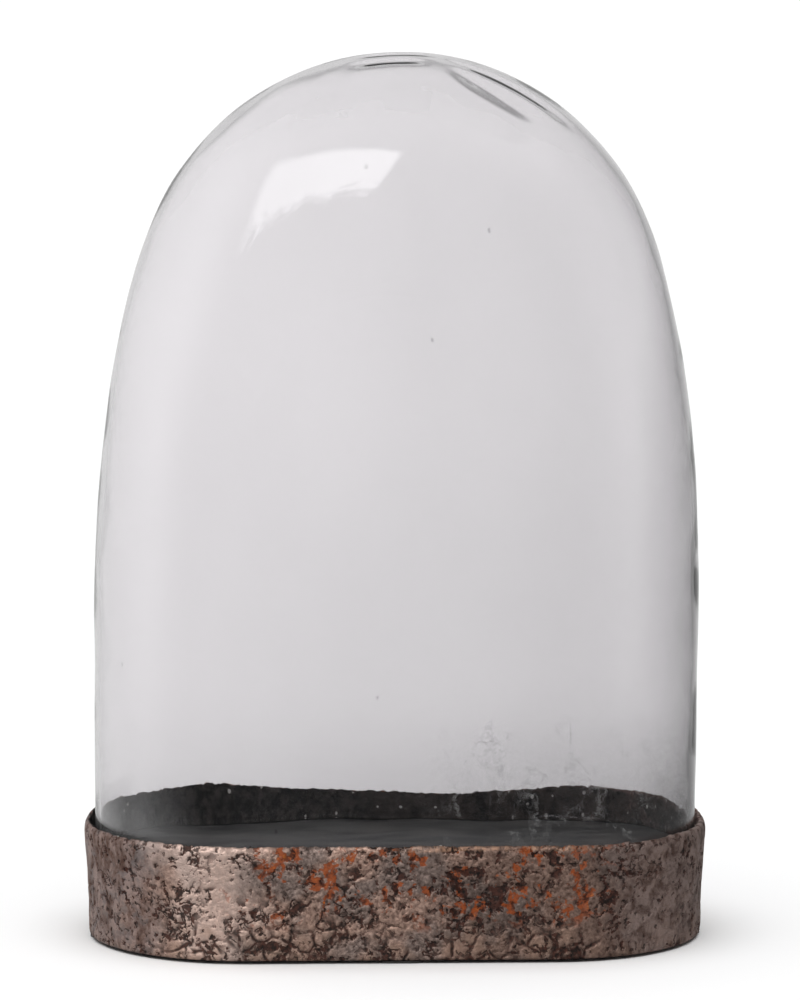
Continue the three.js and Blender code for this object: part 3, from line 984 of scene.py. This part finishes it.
def make_bead():
    """The uneven bead of adhesive in the corner between the panel and the wall."""
    outer = RIM_THICKNESS + REST_GAP
    size = GLASS_CLEARANCE - 2 * REST_GAP
    turns = np.linspace(0, math.pi / 2, 6)
    section = [[outer, BEAD_FOOT]]
    section += [[outer + size * math.sin(t), BEAD_FOOT + size * math.cos(t)] for t in turns]
    section = np.array(section)
    grid = sweep_section(section, BEAD_STATIONS)
    corner = grid[0]
    swell = 0.78 + 0.2 * wander(corner, 6 * MM, 8)
    grid[1:] = corner + (grid[1:] - corner) * np.minimum(swell, 1)[None, :, None]
    faces = grid_faces(*grid.shape[:2], wrap_rows=True)
    bead = make_object("adhesive_bead", grid, faces, bead_material())
    return place(bead, "tray", "adhesive", "glue_bead")


def bead_material():
    material, nodes, shader, _ = new_material("adhesive")
    position = nodes.position()
    blots = nodes.noise(position, 5 * MM, 3)
    dark = nodes.mix(nodes.step(blots, 0.35, 0.65), *ADHESIVE)
    fleck_zone = nodes.step(nodes.noise(position, 34 * MM, 2), 0.55, 0.62)
    fleck = nodes.times(nodes.step(nodes.noise(position, 3 * MM, 3), 0.5, 0.6), fleck_zone)
    nodes.feed(shader.inputs["Base Color"], nodes.mix(fleck, dark, ADHESIVE_FLECK))
    nodes.feed(shader.inputs["Roughness"], nodes.gain(blots, 0.4, 0.35))
    nodes.bump(shader, blots, 0.4, 0.3 * MM)
    return material


def make_pad(node, material):
    """A felt strip with round ends: soft edges, and a top squeezed flat by the tray."""
    low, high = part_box(node)
    centre = (low + high) / 2
    half_x, half_y = (high.x - low.x) / 2, (high.y - low.y) / 2
    radius = min(half_x, half_y)
    angles = np.linspace(0, 2 * math.pi, 96, endpoint=False)
    unit = np.stack([np.cos(angles), np.sin(angles)], -1)
    push = np.sign(unit) * [half_x - radius, half_y - radius]
    rings = [(0.02, 0), (0.6, 0), (0.9, 0), (0.98, 0.12), (1, 0.35), (1, 0.65), (0.98, 0.9),
             (0.9, 1), (0.6, 1), (0.02, 1)]
    grid = []
    for reach, level in rings:
        outline = (unit * radius + push) * reach
        height = low.z + (high.z - low.z) * level
        grid.append(np.column_stack([outline + [centre.x, centre.y],
                                     np.full(len(angles), height)]))
    grid = np.array(grid)
    fray = 1 - 0.03 * np.abs(wander(grid, 1.5 * MM, 11))
    grid[3:7, :, :2] = centre[:2] + (grid[3:7, :, :2] - centre[:2]) * fray[3:7, :, None]
    columns = grid.shape[1]
    faces = grid_faces(*grid.shape[:2])
    last = (len(grid) - 1) * columns
    faces += [list(range(columns))[::-1], list(range(last, last + columns))]
    pad = make_object(node.replace("foot_pad", "felt_pad"), grid, faces, material)
    return place(pad, "tray", "felt", node)


def felt_material():
    material, nodes, shader, _ = new_material("felt")
    position = nodes.position()
    fibres = nodes.noise(nodes.noise_vector(position, 1.5 * MM, 1 * MM), 0.5 * MM, 4, 0.7)
    wool = nodes.mix(nodes.step(fibres, 0.3, 0.7), *FELT)
    nodes.feed(shader.inputs["Base Color"], wool)
    nodes.feed(shader.inputs["Roughness"], nodes.gain(fibres, 0.15, 0.82))
    shader.inputs["Sheen Weight"].default_value = 0.3
    nodes.bump(shader, fibres, 0.7, 0.3 * MM)
    return material


# ---- the build -------------------------------------------------------------------------

bpy.context.scene.view_settings.view_transform = "Standard"
make_camera()
make_studio()
felt = felt_material()
pieces = [make_glass(), make_tray_wall(), make_floor_panel(), make_bead()]
pieces += [make_pad(f"foot_pad_{side}", felt) for side in ("front", "rear", "left", "right")]
add_softbox(pieces[1:])
